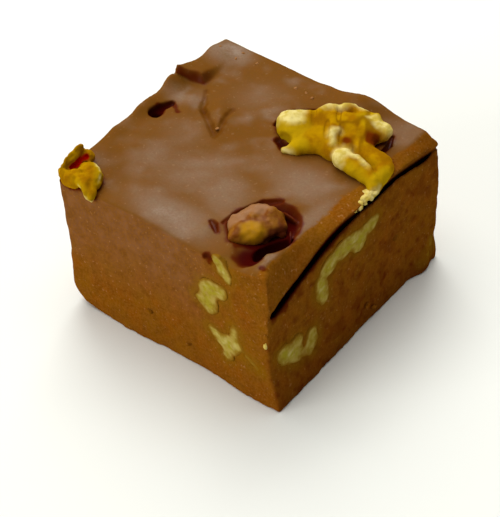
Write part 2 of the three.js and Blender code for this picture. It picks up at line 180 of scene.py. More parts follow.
class Clay:
    """A box of space sampled on a grid: negative inside the solid, in millimetres."""

    def __init__(self, low, high, step):
        self.step = step
        self.axes = [np.arange(a, b, step, dtype=np.float32) for a, b in zip(low, high)]
        self.field = np.full([len(axis) for axis in self.axes], FAR, np.float32)

    def window(self, low=(-99, -99, -99), high=(99, 99, 99)):
        """The samples between two corners: where they are in the grid, and their x, y and z."""
        cuts = tuple(
            slice(*np.searchsorted(axis, (a, b))) for axis, a, b in zip(self.axes, low, high)
        )
        x, y, z = (axis[cut] for axis, cut in zip(self.axes, cuts))
        return cuts, x[:, None, None], y[None, :, None], z[None, None, :]

    def skin(self, reach):
        """The samples within reach of the surface: where they are, and their x, y and z."""
        where = np.nonzero(np.abs(self.field) < reach)
        return where, *(axis[i] for axis, i in zip(self.axes, where))

    def carve(self, shape, k):
        cut, x, y, z = self.window(*extent([shape], k + MARGIN))
        self.field[cut] = smooth_max(self.field[cut], -lump(x, y, z, shape), k)

    def build(self, shape, k, within):
        """Adds a shape, as far as the surface given by the function within."""
        cut, x, y, z = self.window(*extent([shape], k + MARGIN))
        added = smooth_max(lump(x, y, z, shape), within(x, y, z), 0.4)
        self.field[cut] = smooth_min(self.field[cut], added, k)

    def mesh(self):
        """Corners and faces of the surface: a corner for each cell of the grid that it cuts, and a
        four-sided face for each edge that it crosses, which joins the cells around that edge.
        """
        field = self.field
        inside = field < 0
        count = sum(
            inside[tuple(slice(d, n - 1 + d) for d, n in zip(step, field.shape))].astype(np.int8)
            for step in itertools.product((0, 1), repeat=3)
        )
        mixed = (count > 0) & (count < 8)
        cells = np.argwhere(mixed)
        number = np.full(mixed.shape, -1, np.int32)
        number[mixed] = np.arange(len(cells), dtype=np.int32)
        total = np.zeros((len(cells), 3))
        hits = np.zeros(len(cells))
        steps = np.eye(3, dtype=int)
        for axis in range(3):
            one, two = np.delete(steps, axis, axis=0)
            for u, v in itertools.product((0, 1), repeat=2):
                start = cells + u * one + v * two
                end = start + steps[axis]
                a, b = field[tuple(start.T)], field[tuple(end.T)]
                crossed = (a < 0) != (b < 0)
                point = start[crossed].astype(float)
                point[:, axis] += a[crossed] / (a[crossed] - b[crossed])
                total[crossed] += point
                hits[crossed] += 1
        points = total / hits[:, None]
        quads = []
        for axis in range(3):
            u, v = (axis + 1) % 3, (axis + 2) % 3
            low = [slice(1, -1)] * 3
            high = [slice(1, -1)] * 3
            low[axis], high[axis] = slice(0, -1), slice(1, None)
            a, b = inside[tuple(low)], inside[tuple(high)]
            for leaving in (True, False):
                edge = np.argwhere((a & ~b) if leaving else (b & ~a))
                around = (0, steps[u], steps[u] + steps[v], steps[v])
                ring = np.stack([number[tuple((edge + step).T)] for step in around], 1)
                quads.append(ring if leaving else ring[:, ::-1])
        quads = np.concatenate(quads)
        origin = np.array([axis[0] for axis in self.axes])
        return largest(origin + points * self.step, quads)


def largest(points, quads):
    """The largest connected part of a mesh."""
    label = np.arange(len(points))
    ends = np.concatenate([quads[:, (0, 1)], quads[:, (1, 2)], quads[:, (2, 3)]])
    while True:
        a, b = label[ends[:, 0]], label[ends[:, 1]]
        if (a == b).all():
            break
        np.minimum.at(label, np.maximum(a, b), np.minimum(a, b))
        while (label[label] != label).any():
            label = label[label]
    kept = label == np.bincount(label).argmax()
    renumber = np.cumsum(kept) - 1
    return points[kept], renumber[quads[kept[quads[:, 0]]]]


# ---- pieces ----


def add_object(name, data):
    added = bpy.data.objects.new(name, data)
    bpy.context.scene.collection.objects.link(added)
    return added


def mesh_piece(name, points, quads, faces=None):
    """A smooth-shaded mesh object, thinned to so many triangles where it is flattest."""
    mesh = bpy.data.meshes.new(name)
    mesh.vertices.add(len(points))
    mesh.vertices.foreach_set("co", (points * MM).astype(np.float32).ravel())
    mesh.loops.add(quads.size)
    mesh.loops.foreach_set("vertex_index", quads.astype(np.int32).ravel())
    mesh.polygons.add(len(quads))
    mesh.polygons.foreach_set("loop_start", np.arange(0, quads.size, 4, dtype=np.int32))
    mesh.update(calc_edges=True)
    piece = add_object(name, mesh)
    if faces and 2 * len(quads) > faces:
        thin = piece.modifiers.new("thin", "DECIMATE")
        thin.ratio = faces / (2 * len(quads))
        seen = piece.evaluated_get(bpy.context.evaluated_depsgraph_get())
        thinned = bpy.data.meshes.new_from_object(seen)
        piece.modifiers.clear()
        piece.data = thinned
        thinned.name = name
    piece.data.polygons.foreach_set("use_smooth", [True] * len(piece.data.polygons))
    return piece


def corners(piece):
    """x, y and z of a piece's corners, in millimetres."""
    points = np.empty(3 * len(piece.data.vertices), np.float32)
    piece.data.vertices.foreach_get("co", points)
    return (points.reshape(-1, 3) / MM).T


def paint(piece, name, values):
    """Keeps one number for each corner, which the materials read by its name."""
    layer = piece.data.attributes.new(name, "FLOAT", "POINT")
    layer.data.foreach_set("value", np.asarray(values, np.float32))


def place(piece, node, slot, material):
    """Gives a piece its material and its body, and hides the CAD part of the node that it stands
    for; the slot is not used.
    """
    piece.data.materials.append(material)
    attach(piece, "root")
    if node:
        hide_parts(node)


# ---- the block ----

# Swellings of the poured top: where, their half-widths, how far they rise, and their turn.
TOP_SWELLS = [
    ((-17.6, 7.6), (2, 1), -0.2, 20),  # hollow before the lump
    ((-21.4, 7), (2.1, 2.1), 1.8),  # rim before the lump
    ((-20.6, 0.5), (1.7, 3.4), 0.9),  # rim beside the hole
    ((-20.6, -7), (2.2, 5), 0.6),  # rim of the left edge
    ((-20.6, -7.2), (1.6, 1.2), 0.3),
    ((-20.6, -2.2), (1.6, 1.2), 0.3),
    ((-20.2, -13.4), (2.2, 1.6), 0.3),  # fudge pushed up behind the corner walnut
    ((-20.6, 16.4), (4, 2.8), 1.3),  # raised back corner
    ((-14, 20.5), (9, 2.5), 0.3),  # rim of the back edge
    ((7.5, 20.7), (4.6, 2.2), 1.4),  # lip on the back edge
    ((0, 20.7), (1.4, 1.6), 0.3),
    ((18.5, 19.5), (3.5, 3.5), 0.5),  # right back corner
    ((7, -20.5), (8, 5), -1),  # sag over the front edge
    ((5.2, -15.6), (2.6, 1.3), 0.4, 60),  # swell left of the pit
    ((17.5, -18.5), (3, 3), 0.7),  # front corner
    ((-2.5, 12.5), (2.2, 6), 0.35, -30),  # swell left of the walnut
    ((2, -4), (8, 6), -0.35),  # broad hollow
    ((-9.8, 5.4), (1.3, 4), 0.5, 38),  # tongue between the folds
    ((-15.6, 5), (1, 3), 0.3, 25),  # swell left of the folds
]

# Swellings of the cut faces, in the same way: first along the face, then up it.
RIGHT_SWELLS = [
    ((16.6, 1), (2, 4), 0.9),  # toe near the back corner
    ((20.5, 4.5), (2.5, 1.8), -0.3),
]
LEFT_SWELLS = [
    ((7.6, HEIGHT), (3.8, 5), 0.6),  # under the lump
    ((-2.6, HEIGHT), (1.4, 3), -0.4),  # notch beside the hole
    ((-20.5, 13), (8, 7), -0.8),  # dent near the front edge
]
FRONT_SWELLS = [((-2, 0), (1.2, 2), -0.25)]  # nick in the foot

TOP_WAVE, TOP_WAVE_LENGTH = 0.22, 15
FACE_WAVE, FACE_WAVE_LENGTH = 0.16, 17

# The lump at the left edge, which the pour left standing behind a steep front.
LUMP_RISE = 2.0
LUMP_FOOT, LUMP_SLANT = 8.3, 0.27  # where its front starts at the edge, and its slant inwards
LUMP_MIDDLE, LUMP_REACH = -20.6, 6.5  # in x
LUMP_END = (-16.1, -17.3)  # where it fades inwards

WORN_RISE, WORN_REACH = 5.0, (1.6, 2.4)  # the foot of the left front corner, worn off

CRACK_LOW, CRACK_CLIMB, CRACK_DROOP = 18.5, 6.1, 1.8  # near end, climb and fall at the back
CRACK_DEPTH, CRACK_MOUTH = 4.0, 0.75  # how far it reaches in, and half its height at the face
CRACK_FALL = 1.9  # how much the crack drops for each millimetre inwards
SLAB_LEAN = 2.8  # how far the layer above the crack leans in at its top edge
RIGHT_SUNK = 1.0  # how far in the right face lies at the near corner


def cliff(x, y):
    """Distance behind the foot of the lump at the left edge."""
    return y - LUMP_FOOT - LUMP_SLANT * (x - LUMP_MIDDLE) + 0.2 * wave(x, y, 3.1, 9)


def cliff_width(x):
    """How far the front of the lump slopes back: steep at the left edge, gentler inwards."""
    return 0.6 + 0.4 * ramp(-20.5, -18, x)


def top_height(x, y):
    """Height of the poured top."""
    z = swelled(HEIGHT + TOP_WAVE * wave(x, y, TOP_WAVE_LENGTH, 1), x, y, TOP_SWELLS)
    raised = ramp(0, 1, cliff(x, y) / cliff_width(x)) * ramp(16, 10, y) * ramp(*LUMP_END, x)
    return z + LUMP_RISE * raised * bell((x - LUMP_MIDDLE) / LUMP_REACH)


def below_top(points, depth):
    """The plan points given, each at this depth below the poured top."""
    return [(x, y, float(top_height(x, y)) - depth) for x, y in points]


def base_height(x, y):
    """Height of the underside: flat, but for the worn corner."""
    worn = WORN_RISE * np.exp(-(x + HALF_W) / WORN_REACH[0]) * bell((y + HALF_D) / WORN_REACH[1])
    return np.maximum(worn - 0.05, 0)


def crack_height(y):
    """Height of the middle of the crack's mouth."""
    return CRACK_LOW + CRACK_CLIMB * ramp(-22, -2, y) - CRACK_DROOP * ramp(8, 21, y)


def right_sunk(y):
    """Towards the near corner the right face lies further in."""
    return RIGHT_SUNK * ramp(0, -20, y)


def uneven_face(a, b, seed):
    return FACE_WAVE * wave(a, b, FACE_WAVE_LENGTH, seed)


def right_face(y, z):
    """How far the right face stands out past the half-width; so with the other faces."""
    sunk = right_sunk(y)
    lip = crack_height(y) + CRACK_MOUTH / 2
    rise = np.clip((z - lip) / (HEIGHT + 0.2 - lip), 0, 1.2)
    reach = SLAB_LEAN * (0.36 + 0.64 * ramp(-21, -17, y)) * (1 - 0.45 * ramp(6, HALF_D, y))
    lean = (reach - sunk) * rise ** (1 + 2.0 * ramp(-15, -20.5, y))
    toe = (0.7 - 0.8 * ramp(-18, 4, y)) * (1 - z / HEIGHT) ** 2
    bulge = swelled(0, y, z, RIGHT_SWELLS)
    lap = 0.15 * bell((z - lip - 0.7) / 0.7) - 0.15 * bell((z - lip + 1.4) / 1.0)
    flat = toe + bulge + lap + 0.25 * ramp(12, 20, y) + uneven_face(y, z, 2)
    return flat - lean - sunk * ramp(2, 8, z)


def left_face(y, z):
    edge = 0.6 * ramp(14, HEIGHT, z) * ramp(-18, -13, y)
    return swelled(edge, y, z, LEFT_SWELLS) - 0.25 * (1 - z / HEIGHT) + uneven_face(y, z, 3)


def front_face(x, z):
    foot = swelled(0.6 * ramp(8, 16, x) * ramp(25, 12, z), x, z, FRONT_SWELLS)
    return uneven_face(x, z, 4) - 0.3 * bell(x / 12) * z / HEIGHT + foot


def back_face(x, z):
    step = ramp(crack_height(HALF_D), HEIGHT, z) * ramp(12, HALF_W, x)
    return 0.25 + uneven_face(x, z, 5) - 0.8 * step


def sides(x, y, z):
    """Distance outside the four cut faces."""
    across = np.maximum(x - HALF_W - right_face(y, z), -x - HALF_W - left_face(y, z))
    along = np.maximum(y - HALF_D - back_face(x, z), -y - HALF_D - front_face(x, z))
    return smooth_max(across, along, 0.35)


def block(x, y, z):
    """Distance outside the block, before anything is cut out of it."""
    level = np.maximum(z - top_height(x, y), base_height(x, y) - z)
    return smooth_max(sides(x, y, z), level, 0.25 + 0.45 * ramp(2, 20, z))


# ---- nuts: each a few shapes, either middle, half-sizes and turn, or points and radii ----

WALNUT_TOP = [
    ((1.7, 8.7, 26.2), (2.5, 2.7, 2.2)),  # left lobe
    ((3.6, 7.3, 25.9), (2.4, 1.9, 1.8)),
    ([(6.6, 7.2, 26), (5.5, 5.3, 25.9), (3.8, 3.9, 25.6)], [1.7, 1.25, 0.6]),  # its hook
    ((8, 9.6, 26.2), (4, 3.4, 2.2), (40, 0, 0)),  # ridged body
    ((6.8, 11.9, 26.4), (3.2, 2.4, 1.9), (40, 0, 0)),
    ((4.2, 10.4, 26.3), (2, 1.6, 1.6), (40, 0, 0)),
    ((11.4, 13.3, 26.6), (3.8, 2.9, 2.2), (15, 0, 0)),
    ((10.4, 8, 25.8), (2.6, 2, 1.6)),
    ((13, 10.2, 25.9), (2.8, 2, 1.4)),  # sheet behind the bean
    ((16.4, 9.3, 25.8), (3.6, 2.1, 1.3), (-5, 0, 0)),
    ((19.1, 7, 25.3), (1.2, 2.4, 1.4), (0, 0, 14)),  # tail over the edge
    ((19.6, 4.8, 24.8), (0.8, 1.3, 1.1), (0, 0, 24)),
]
WALNUT_RIM = [
    ([(1.8, 9.8, 27), (2.8, 10.3, 27.3), (4.3, 11.7, 27.5)], [0.8, 0.8, 0.8]),
    ([(4.3, 11.7, 27.5), (4.9, 13.4, 27.5), (6.7, 14.8, 27.5)], [0.8, 0.9, 0.8]),
    ([(6.7, 14.8, 27.5), (8.2, 15.9, 27.5), (12.3, 15.4, 27.6)], [0.8, 0.75, 0.9]),
    ([(12.3, 15.4, 27.6), (15.3, 14.5, 27.3)], [0.9, 0.8]),
    ((14.2, 14.4, 27), (1.7, 1.3, 1.5)),
    ([(9.7, 9.7, 28), (9.2, 8.7, 28), (10.2, 7.4, 27.3)], [0.55, 0.65, 0.45]),  # chip
    ([(12.9, 6.5, 26.4), (16, 5.8, 26.3), (18.6, 5.3, 25.6)], [1.65, 1.35, 0.9]),  # bean
    ([(15, 7.2, 27.2), (17.4, 6.6, 27), (19.4, 5.4, 26.3)], [0.45, 0.4, 0.3]),
]
WALNUT_CORNER = [
    ((-19.5, -17.7, 27.3), (0.6, 2.7, 1.5), (0, 0, 16)),  # flake
    ([(-19.5, -16.8, 27.7), (-19.5, -15.5, 28.4)], [0.6, 0.2]),  # its tip
    ([(-19.9, -19.2, 25.6), (-19.6, -17.4, 25.6), (-19.3, -15.8, 26)], [1, 0.9, 0.6]),
    ((-18.9, -15, 26.2), (1.3, 1, 1.1), (0, 12, 0)),  # bit behind the flake
    ((-15.8, -18, 25.9), (3, 1.9, 1.7), (-42, 0, 0)),  # main lobe
    ((-18, -19.9, 25.8), (2.1, 1.1, 1.4)),
    ([(-17, -19.6, 26.6), (-15, -20.1, 26.4), (-13.6, -20.6, 25.5)], [0.9, 0.9, 0.8]),  # tail
    ([(-13.6, -20.6, 25.4), (-13.1, -20.9, 24.6)], [0.75, 0.35]),
    ([(-14, -20.5, 25.2), (-14.2, -20.9, 24.4)], [0.6, 0.3]),
]
WALNUT_PIT = [
    ((10.3, -10.9, 24.8), (3.8, 3.4, 2.1), (50, 0, 0)),
    ((9.9, -13.7, 24.3), (2.4, 1.8, 1.6), (40, 0, 0)),
    ((8.2, -12.6, 24.5), (2.2, 1.6, 1.5), (60, 0, 0)),  # end that runs into the fudge
    ([(11.8, -9.3, 25.1), (13.4, -9.9, 24.8), (14, -10.3, 24.3)], [1.5, 1.2, 0.8]),
]
CUT_NUTS = {
    "nut_front_edge": [
        ((11, -20.5, 23.3), (1.3, 1.2, 2.8), (0, -34, 0)),
        ((11.9, -20.4, 22.4), (1, 1.1, 1.3), (0, -30, 0)),
    ],
    "nut_front_upper": [
        ((8.9, -20.3, 18.2), (3, 1.8, 1.9), (0, -14, 0)),
        ((7.9, -20.4, 15.8), (1.7, 1.4, 2.8), (0, -12, 0)),
        ((6.6, -20.4, 15.2), (1.4, 1.1, 0.9), (0, 20, 0)),
    ],
    "nut_front_lower": [
        ((12.1, -20.3, 9.1), (2.9, 1.8, 2), (0, -22, 0)),
        ((12.9, -20.4, 11.6), (1.2, 1.3, 2), (0, 8, 0)),
        ((9.4, -20.4, 9.5), (2, 1.2, 1.1), (0, 30, 0)),
        ((16.2, -20.4, 8.1), (2.5, 1.1, 1), (0, 30, 0)),
        ((11.3, -20.4, 6.7), (1.1, 1.2, 1.8)),
    ],
    "nut_right_lower": [
        ((19.4, -16.1, 7.8), (1.5, 4.1, 2), (0, 0, -35)),
        ((19.4, -14.7, 9.2), (1.3, 1.6, 1.5)),
        ((19.5, -11.6, 7.2), (1.4, 1.6, 2.9), (0, 0, -12)),
    ],
    "nut_right_strip": [
        ((19.8, -8.6, 15.1), (1.4, 1.6, 3), (0, 0, 8)),
        ((19.9, -6.8, 18.6), (1.4, 2.4, 1.8), (0, 0, 32)),
        ((20, -2.5, 19.6), (1.6, 3.6, 2)),
        ((20.1, 0.4, 18.5), (1.5, 1.9, 2.2), (0, 0, -20)),
        ((20.1, 2.8, 19.7), (1.4, 2.5, 1.5), (0, 0, 5)),
    ],
    "nut_right_corner": [
        ((19.4, 17.2, 2.5), (1.6, 1.9, 1.8)),
        ((19.4, 19.2, 3.8), (1.2, 1.2, 1.5)),
    ],
    "nut_left_upper": [
        ((-19.9, 5.5, 15.2), (1.7, 2.6, 1.7), (0, 0, 25)),
        ((-20, 2.8, 13.6), (1.3, 1.5, 1)),
    ],
    "nut_left_lower": [
        ((-19.9, -9.5, 7.4), (1.6, 1.5, 2.1), (0, 0, -30)),
        ((-20, -8, 9.6), (1.2, 1.7, 0.9), (0, 0, -20)),
    ],
    "nut_back_upper": [
        ((-7.5, 20.2, 16.4), (2.4, 1.7, 1.5), (0, -20, 0)),
        ((-10.1, 20.2, 17.6), (1.4, 1.3, 1)),
    ],
    "nut_back_lower": [
        ((6.5, 20.2, 7.6), (1.7, 1.7, 2.3), (0, -25, 0)),
        ((8.6, 20.2, 5.4), (1.6, 1.2, 0.9)),
    ],
}


# The mouth that the hook of the top walnut curls round, and the gap behind the corner's flake.
MOUTH = ((2.5, 5.1, 25.7), (1.5, 1.1, 1.6))
CREVICE = [(-19.0, -18.7, 26.4), (-18.8, -17.2, 26.6), (-18.6, -15.7, 26.8)]


def cut_nut(x, y, z, shapes):
    """Distance outside a nut in a cut face, before the knife."""
    rough = 0.3 * grain(x, y, z, 1.5, 21) + 0.15 * grain(x, y, z, 0.6, 22)
    return cluster(x, y, z, shapes, 0.5) + rough


def flush_nut(x, y, z, shapes):
    """Distance outside a nut that the knife cut off at the face of the block."""
    face = np.maximum(sides(x, y, z), 0.35 - z) - 0.05 + 0.05 * grain(x, y, z, 0.8, 23)
    return smooth_max(cut_nut(x, y, z, shapes), face, 0.15)


def ribs(x, y, z):
    """Noise in long ribs across the body of the top walnut."""
    return grain(x * 0.85 + y * 0.53, y * 0.85 - x * 0.53, z, (0.75, 5.0, 3.0), 31)


def walnut_top(x, y, z):
    body = smooth_max(cluster(x, y, z, WALNUT_TOP, 1.1), -egg(x, y, z, *MOUTH), 0.4)
    for shape in WALNUT_RIM:
        body = smooth_min(body, lump(x, y, z, shape), 0.45)
    ribbed = 0.05 + 0.15 * ramp(7, 8.5, y) * ramp(16, 13, x) * ramp(3, 5, x)
    knobs = 0.16 * grain(x, y, z, 1.6, 32) + 0.07 * grain(x, y, z, 0.6, 33)
    return body + ribbed * ribs(x, y, z) + knobs


def walnut_corner(x, y, z):
    knobs = 0.22 * grain(x, y, z, 1.4, 41) + 0.16 * grain(x, y, z, 0.55, 42)
    crevice = strand(x, y, z, CREVICE, [0.3, 0.4, 0.35])
    return smooth_max(cluster(x, y, z, WALNUT_CORNER, 0.5) + knobs, -crevice, 0.3)


def walnut_pit(x, y, z):
    knobs = 0.4 * grain(x, y, z, 2.0, 51) + 0.2 * grain(x, y, z, 0.8, 52)
    return cluster(x, y, z, WALNUT_PIT, 0.6) + knobs


WHOLE_NUTS = {
    "walnut_top": (walnut_top, WALNUT_TOP + WALNUT_RIM),
    "walnut_corner": (walnut_corner, WALNUT_CORNER),
    "walnut_pit": (walnut_pit, WALNUT_PIT),
}
WHOLE_GAP, CUT_GAP = 0.1, 0.15  # between a nut and the fudge around it


# ---- the fudge ----

SLOT = ((15.1, -13.3, 23.4), (3.4, 1.8, 3.4), (66, 0, 0))

# What is carved out of the block, and how softly.
PITS = [
    (((-18.1, -0.2, 24.5), (1, 1.1, 2.2)), 0.4),  # hole near the left edge
    ((below_top([(-18.2, -0.4), (-18.3, 1.3), (-17.8, 3.4)], 0.4), [1, 0.8, 0.4]), 0.4),
    ((below_top([(-17.4, 3.2), (-16.4, 2.6), (-15.6, 2.1)], 0), [0.2, 0.12, 0.15]), 0.15),
    (((11.6, -11.2, 25.9), (5.4, 6.2, 2.4)), 0.25),  # round the coated nut
    (SLOT, 0.2),  # the dark slot before the coated nut
    (((13, -17.2, 25.6), (2.6, 2.4, 1.9)), 0.9),  # its shallow front end
]
GROOVES = [
    ((below_top([(6.2, -13.9), (6.3, -11.3), (7.2, -9)], 0.1), [0.2, 0.35, 0.5]), 0.15),
    ((below_top([(7.2, -9), (8.3, -6.8), (10.2, -5.2)], 0.1), [0.5, 0.65, 0.35]), 0.15),
    ((below_top([(4.4, -14.4), (5.3, -14.9), (6.4, -15.8)], 0.1), [0.3, 0.5, 0.25]), 0.2),
    ((below_top([(7.9, -19.9), (8.5, -20.2)], 0.3), [0.5, 0.6]), 0.3),
    ((below_top([(16.9, -18.8), (17.7, -18.4)], 0), [0.25, 0.25]), 0.15),
    # the gap round the top walnut
    ((below_top([(-1.1, 8.2), (-1.3, 10.4), (-0.4, 12.2)], 0.3), [0.35, 0.45, 0.5]), 0.2),
    ((below_top([(-0.4, 12.2), (1.2, 13.8), (3.4, 15.6)], 0.3), [0.5, 0.5, 0.35]), 0.2),
    ((below_top([(15, 16), (15.9, 14), (16, 12.2)], 0.3), [0.35, 0.5, 0.4]), 0.2),
    ((below_top([(1.4, 5.6), (3.2, 4.9)], 0.1), [0.6, 0.9]), 0.3),  # under the hook
]
# Curls of skin that stand in the pit.
CURLS = [
    ((13.2, -7.2, 24.2), (2.1, 0.3, 1.1), (-9, 0, 0)),
    ((15.4, -9.9, 23.8), (1.5, 0.28, 1.1), (-52, 0, 0)),
]
CURL_SOFTNESS = 0.25

# Where the pour ran over itself: a crease that splits into the two sides of a tongue.
FOLDS = [
    (below_top([(-15.2, 8.6), (-14.4, 7.6), (-13.6, 6.2)], -0.1), [0.2, 0.25, 0.3]),
    (below_top([(-13.6, 6.2), (-13.2, 5.2), (-12.4, 4.6)], 0), [0.3, 0.4, 0.45]),
    (below_top([(-12.4, 4.6), (-10, 2.8), (-7.2, 0.8)], -0.1), [0.45, 0.45, 0.5]),
    (below_top([(-8.7, 7.2), (-8.2, 4.6), (-7.2, 1.6)], -0.1), [0.2, 0.35, 0.4]),
]
FOLD_SOFTNESS = 0.45
SKIN = 0.7  # how deep the relief of the surface goes into the clay


def crack(x, y, z):
    """Distance outside the wedge of air under the skin on the right face."""
    inward = np.maximum(HALF_W - right_sunk(y) - x, 0)
    opened = (0.5 + 0.5 * ramp(-20.0, -18.6, y)) * (1 - 0.8 * ramp(17.5, 20.0, y))
    uneven = (1 + 0.25 * wave(y, 0, 7, 6)) * (1 - 0.6 * bell((y - 1.5) / 2.2))
    half = CRACK_MOUTH * opened * uneven * (1 - inward / CRACK_DEPTH)
    ends = 1.2 * ramp(-19.7, -20.3, y)  # keeps it off the front face
    return np.abs(z - crack_height(y) + CRACK_FALL * inward) - half + ends


def open_crack(clay):
    """Takes out the crack, with a sharp upper lip and a rounded lower one."""
    cut, x, y, z = clay.window((HALF_W - 5, -99, 13), (99, 99, 26))
    softness = 0.15 + (0.3 + 0.7 * ramp(10, 4, y)) * ramp(0.1, -0.5, z - crack_height(y))
    clay.field[cut] = smooth_max(clay.field[cut], -crack(x, y, z), softness)


def press(clay, nut, shapes, gap):
    """Makes the bed of a nut, with this gap round it."""
    cut, x, y, z = clay.window(*extent(shapes, 1))
    clay.field[cut] = np.maximum(clay.field[cut], -gap - nut(x, y, z))


def roughen(clay):
    """Knife drag and grain on the cut faces, and a faint unevenness on the poured top."""
    where, x, y, z = clay.skin(SKIN)
    cut_side = ramp(-0.7, -0.1, sides(x, y, z)) * ramp(0.1, -0.9, z - top_height(x, y))
    drag = 0.07 * grain(x, y, z, (0.6, 0.6, 5), 1) + 0.05 * grain(x, y, z, (1.6, 1.6, 7), 2)
    rough = 0.05 * grain(x, y, z, 0.7, 3) + 0.1 * grain(x, y, z, 2.4, 4)
    poured = 0.05 * grain(x, y, z, 3.5, 5) + 0.02 * grain(x, y, z, 1.2, 6)
    clay.field[where] += cut_side * (drag + rough) + (1 - cut_side) * poured


def sculpt_fudge():
    low = (-HALF_W - 2.2, -HALF_D - 1.4, -0.5)
    high = (HALF_W + 1.8, HALF_D + 1.4, HEIGHT + 3.4)
    clay = Clay(low, high, FUDGE_GRID)
    _, x, y, z = clay.window()
    clay.field = block(x, y, z).astype(np.float32)
    open_crack(clay)
    for shape, k in PITS:
        clay.carve(shape, k)
    for shape in CURLS:
        clay.build(shape, CURL_SOFTNESS, sides)
    for shape, k in GROOVES:
        clay.carve(shape, k)
    for shape in FOLDS:
        clay.carve(shape, FOLD_SOFTNESS)
    for nut, shapes in WHOLE_NUTS.values():
        press(clay, nut, shapes, WHOLE_GAP)
    for shapes in CUT_NUTS.values():
        press(clay, partial(cut_nut, shapes=shapes), shapes, CUT_GAP)
    roughen(clay)
    _, x, y, z = clay.window()
    clay.field = np.maximum(clay.field, -z)  # the flat underside
    return clay


# ---- materials ----


class Recipe:
    """A material under construction: a principled shader and the nodes that feed it."""

    def __init__(self, name):
        self.material = bpy.data.materials.new(name)
        self.material.use_nodes = True
        self.tree = self.material.node_tree
        self.shader = next(n for n in self.tree.nodes if n.type == "BSDF_PRINCIPLED")
        self.place = self.node("ShaderNodeTexCoord").outputs["Object"]
        self.patterns = {}

    def node(self, kind, **settings):
        node = self.tree.nodes.new(kind)
        for key, value in settings.items():
            setattr(node, key, value)
        return node

    def feed(self, socket, value):
        if isinstance(value, bpy.types.NodeSocket):
            self.tree.links.new(value, socket)
        else:
            socket.default_value = value

    def noise(self, size, detail):
        """Noise in blobs of this size in millimetres."""
        mapping = self.node("ShaderNodeMapping")
        self.feed(mapping.inputs["Vector"], self.place)
        mapping.inputs["Scale"].default_value = [1 / (size * MM)] * 3
        noise = self.node("ShaderNodeTexNoise")
        noise.inputs["Scale"].default_value = 1
        noise.inputs["Detail"].default_value = detail
        self.feed(noise.inputs["Vector"], mapping.outputs["Vector"])
        return noise.outputs["Fac"]

    def share(self, name):
        """The pattern kept under this name, or else what is painted on the corners under it."""
        if name in self.patterns:
            return self.patterns[name]
        return self.node("ShaderNodeAttribute", attribute_name=name).outputs["Fac"]

    def level(self, value, low, high, to_low=0.0, to_high=1.0):
        """Moves the range low to high onto another, with soft ends."""
        node = self.node("ShaderNodeMapRange", interpolation_type="SMOOTHSTEP")
        keys = ("Value", "From Min", "From Max", "To Min", "To Max")
        for key, given in zip(keys, (value, low, high, to_low, to_high)):
            self.feed(node.inputs[key], given)
        return node.outputs["Result"]

    def sum(self, *terms, op="ADD"):
        total = terms[0]
        for term in terms[1:]:
            node = self.node("ShaderNodeMath", operation=op)
            self.feed(node.inputs[0], total)
            self.feed(node.inputs[1], term)
            total = node.outputs["Value"]
        return total

    def product(self, *terms):
        return self.sum(*terms, op="MULTIPLY")

    def mix(self, share, first, second):
        node = self.node("ShaderNodeMix", data_type="RGBA")
        self.feed(node.inputs[0], share)
        for socket, value in zip((node.inputs[6], node.inputs[7]), (first, second)):
            self.feed(socket, (*value, 1) if isinstance(value, tuple) else value)
        return node.outputs[2]

    def tinted(self, color, tints):
        for name, strength, tint in tints:
            color = self.mix(self.product(self.share(name), strength), color, tint)
        return color

    def bump(self, height, distance, strength):
        """Relief of so many millimetres."""
        node = self.node("ShaderNodeBump")
        node.inputs["Strength"].default_value = strength
        node.inputs["Distance"].default_value = distance * MM
        self.feed(node.inputs["Height"], height)
        return node.outputs["Normal"]

    def finish(self, color, roughness, normal=None, **constants):
        """The material, with these on its shader; a constant's name has _ for each space."""
        self.feed(self.shader.inputs["Base Color"], color)
        self.feed(self.shader.inputs["Roughness"], roughness)
        if normal:
            self.feed(self.shader.inputs["Normal"], normal)
        for name, value in constants.items():
            self.shader.inputs[name.replace("_", " ")].default_value = value
        return self.material


# Colours in linear light. A tint is the mark or noise that lays it on, its strength and colour.
CUT = (0.208, 0.058, 0.002)
CUT_TINTS = [
    ("blotch", 1, (0.2, 0.072, 0.002)),
    # milky haze with painted sheen on the upper front face
    ("haze_and_sheen", 1, (0.205, 0.084, 0.03)),
    ("mottle", 0.65, (0.14, 0.047, 0.003)),
    ("fleck", 0.45, (0.28, 0.102, 0.012)),
    ("speck", 0.55, (0.34, 0.15, 0.045)),
]
POURED = (0.162, 0.06, 0.005)
POURED_TINTS = [
    # bloom with painted sheen, and a painted shine where it is strongest
    ("bloom_and_sheen", 1, (0.182, 0.092, 0.03)),
    ("shine", 1, (0.25, 0.16, 0.095)),
    ("mottle", 0.4, (0.19, 0.062, 0.007)),
    ("fleck", 0.3, (0.135, 0.055, 0.01)),
    ("speck", 0.35, (0.26, 0.13, 0.045)),
]
FUDGE_TINTS = [
    # painted shade: hollows, nut beds, the lump's front, under the crack and low on the right face
    ("painted_shade", 1, (0.095, 0.014, 0.001)),
    ("oil", 1, (0.2, 0.105, 0.002)),
    # painted shade along the creases of the folds
    ("crease_shade", 1, (0.118, 0.036, 0.002)),
    ("crumb", 1, (0.33, 0.15, 0.05)),
    # painted shade, near black, where no light gets
    ("hollow", 1, (0.045, 0.002, 0.001)),
]
AMBER = (0.3, 0.125, 0.001)
AMBER_TINTS = [
    ("patch", 1, (0.43, 0.22, 0.001)),
    ("yolk", 0.8, (0.46, 0.29, 0.003)),
    ("vein", 0.75, (0.17, 0.066, 0.001)),
    # painted shade in the walnut's hollows and behind its chip
    ("nut_shade", 1, (0.15, 0.025, 0.001)),
]
FLESH, CREAM = (0.54, 0.4, 0.07), (0.74, 0.61, 0.22)
